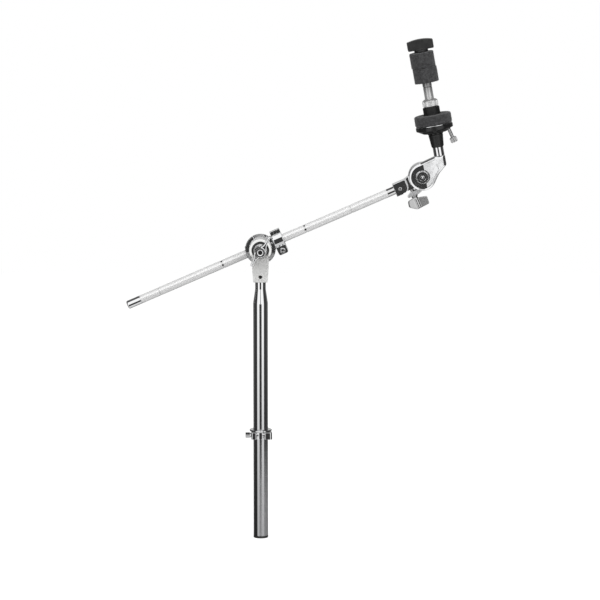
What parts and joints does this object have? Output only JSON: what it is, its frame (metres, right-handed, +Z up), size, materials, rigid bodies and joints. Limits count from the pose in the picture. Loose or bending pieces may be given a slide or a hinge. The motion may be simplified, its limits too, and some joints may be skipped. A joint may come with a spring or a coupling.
{
  "type": "cymbal boom arm with hi-hat seat",
  "caption": "Boom arm on a straight tube post: swinging rod clamp, sliding boom rod, split-ring tilter and a seat with felts and wing nut for a closed pair of cymbals.",
  "frame": {"origin": "middle of the flat foot of the post's end cap", "axes": "+Z up along the post, +X towards the seat, -Y to the front, where the boom's wing nut is"},
  "size_m": [0.5006, 0.0773, 0.7601],
  "materials": {
    "boom_bracket": "satin",
    "boom_lock_back": "polished",
    "boom_lock_front": "polished",
    "boom_lock_key_bolt": "polished",
    "boom_lock_pin": "zinc plated",
    "boom_rod": "fine lengthwise flutes",
    "boom_rod_tip": "polished",
    "boom_wing_nut": "polished",
    "bracket_pin": "satin",
    "brake_disc_clamp": "polished",
    "brake_pad": "matt",
    "brake_stud": "polished",
    "clamp_eye_bolt": "zinc plated",
    "clamp_liner": "matt",
    "clutch_collar": "polished",
    "clutch_felt_lower": "pressed felt",
    "clutch_felt_upper": "pressed felt",
    "clutch_nut": "polished",
    "clutch_tube": "polished",
    "clutch_wing_nut": "satin moulded",
    "cymbal_bushing": "satin moulded",
    "memory_lock_bolt": "polished",
    "memory_lock_collar": "polished",
    "post_end_cap": "satin",
    "post_tube": "polished",
    "seat_cup": "satin moulded",
    "seat_felt": "pressed felt",
    "seat_plate": "polished",
    "seat_sleeve": "satin moulded",
    "seat_stem": "polished",
    "seat_tilt_screw": "polished",
    "socket_screw": "polished",
    "tilter_arm": "polished",
    "tilter_back_cover": "polished",
    "tilter_centre_bolt": "polished",
    "tilter_drum": "turned",
    "tilter_housing": "polished",
    "tilter_key_screw": "polished",
    "tilter_wing_bolt": "polished",
    "wing_nut_washer": "satin"
  },
  "bodies": {
    "post": {"post_tube": "post_tube", "post_end_cap": "post_end_cap", "boom_bracket": "boom_bracket", "bracket_pin": "bracket_pin", "brake_pad": "brake_pad", "wing_nut_washer": "wing_nut_washer"},
    "memory_lock": {"memory_lock_collar": "memory_lock_collar"},
    "memory_lock_bolt": {"memory_lock_bolt": "memory_lock_bolt"},
    "boom_clamp": {"brake_disc_clamp": "brake_disc_clamp", "brake_stud": "brake_stud", "clamp_eye_bolt": "clamp_eye_bolt"},
    "boom_wing_nut": {"boom_wing_nut": "boom_wing_nut"},
    "rod_liner": {"clamp_liner": "clamp_liner"},
    "boom_rod": {"boom_rod": "boom_rod", "boom_rod_tip": "boom_rod_tip", "boom_lock_front": "boom_lock_front", "boom_lock_back": "boom_lock_back", "boom_lock_pin": "boom_lock_pin", "tilter_housing": "tilter_housing", "socket_screw": "socket_screw"},
    "boom_lock_key": {"boom_lock_key_bolt": "boom_lock_key_bolt"},
    "tilter_wing_bolt": {"tilter_wing_bolt": "tilter_wing_bolt"},
    "tilter": {"tilter_arm": "tilter_arm", "tilter_drum": "tilter_drum", "tilter_back_cover": "tilter_back_cover", "tilter_centre_bolt": "tilter_centre_bolt", "tilter_key_screw": "tilter_key_screw", "seat_stem": "seat_stem", "seat_sleeve": "seat_sleeve", "seat_cup": "seat_cup", "cymbal_bushing": "cymbal_bushing", "clutch_tube": "clutch_tube", "clutch_collar": "clutch_collar", "clutch_felt_lower": "clutch_felt_lower", "clutch_felt_upper": "clutch_felt_upper"},
    "tilt_screw": {"seat_tilt_screw": "seat_tilt_screw"},
    "seat_plate": {"seat_plate": "seat_plate", "seat_felt": "seat_felt"},
    "clutch_nut": {"clutch_nut": "clutch_nut"},
    "clutch_wing_nut": {"clutch_wing_nut": "clutch_wing_nut"}
  },
  "joints": [
    {"name": "memory_lock_slide", "type": "slide", "parent": "post", "child": "memory_lock", "axis": [0, 0, 1], "range_m": [-0.13, 0.17]},
    {"name": "memory_lock_bolt_turn", "type": "hinge", "parent": "memory_lock", "child": "memory_lock_bolt", "pos_m": [0, -0.01561, 0.161], "axis": [1, 0, 0], "range_deg": [-180, 180]},
    {"name": "boom_tilt", "type": "hinge", "parent": "post", "child": "boom_clamp", "pos_m": [0, 0, 0.4425], "axis": [0, -1, 0], "range_deg": [-45, 66]},
    {"name": "boom_wing_nut_turn", "type": "hinge", "parent": "boom_clamp", "child": "boom_wing_nut", "pos_m": [0, -0.02, 0.4425], "axis": [0, -1, 0], "range_deg": [-180, 180]},
    {"name": "boom_rod_roll", "type": "hinge", "parent": "boom_clamp", "child": "rod_liner", "pos_m": [0, 0.0185, 0.4425], "axis": [0.9174, 0, 0.3979], "range_deg": [-30, 30]},
    {"name": "boom_rod_slide", "type": "slide", "parent": "rod_liner", "child": "boom_rod", "axis": [0.9174, 0, 0.3979], "range_m": [0, 0.15]},
    {"name": "boom_lock_key_turn", "type": "hinge", "parent": "boom_rod", "child": "boom_lock_key", "pos_m": [0.03372, 0.0185, 0.43914], "axis": [0, -1, 0], "range_deg": [-180, 180]},
    {"name": "tilter_tilt", "type": "hinge", "parent": "boom_rod", "child": "tilter", "pos_m": [0.24403, 0, 0.55162], "axis": [0, -1, 0], "range_deg": [-110, 60]},
    {"name": "tilter_wing_bolt_turn", "type": "hinge", "parent": "boom_rod", "child": "tilter_wing_bolt", "pos_m": [0.23453, 0.0237, 0.51698], "axis": [-0.3979, 0, 0.9174], "range_deg": [-180, 180]},
    {"name": "tilt_screw_travel", "type": "slide", "parent": "tilter", "child": "tilt_screw", "axis": [-0.4131, 0, 0.9107], "range_m": [0, 0.003]},
    {"name": "seat_tilt", "type": "hinge", "parent": "tilter", "child": "seat_plate", "pos_m": [0.2343, 0.00815, 0.62506], "axis": [0, -1, 0], "range_deg": [0, 3.64]},
    {"name": "clutch_nut_turn", "type": "hinge", "parent": "tilter", "child": "clutch_nut", "pos_m": [0.25526, 0.00815, 0.66251], "axis": [-0.1754, 0, 0.9845], "range_deg": [-180, 180]},
    {"name": "clutch_wing_nut_turn", "type": "hinge", "parent": "tilter", "child": "clutch_wing_nut", "pos_m": [0.23986, 0.00815, 0.74895], "axis": [-0.1754, 0, 0.9845], "range_deg": [-180, 180]}
  ],
  "couplings": [
    {"joint": "seat_tilt", "follows": "tilt_screw_travel", "rad_per_m": 21.157}
  ]
}
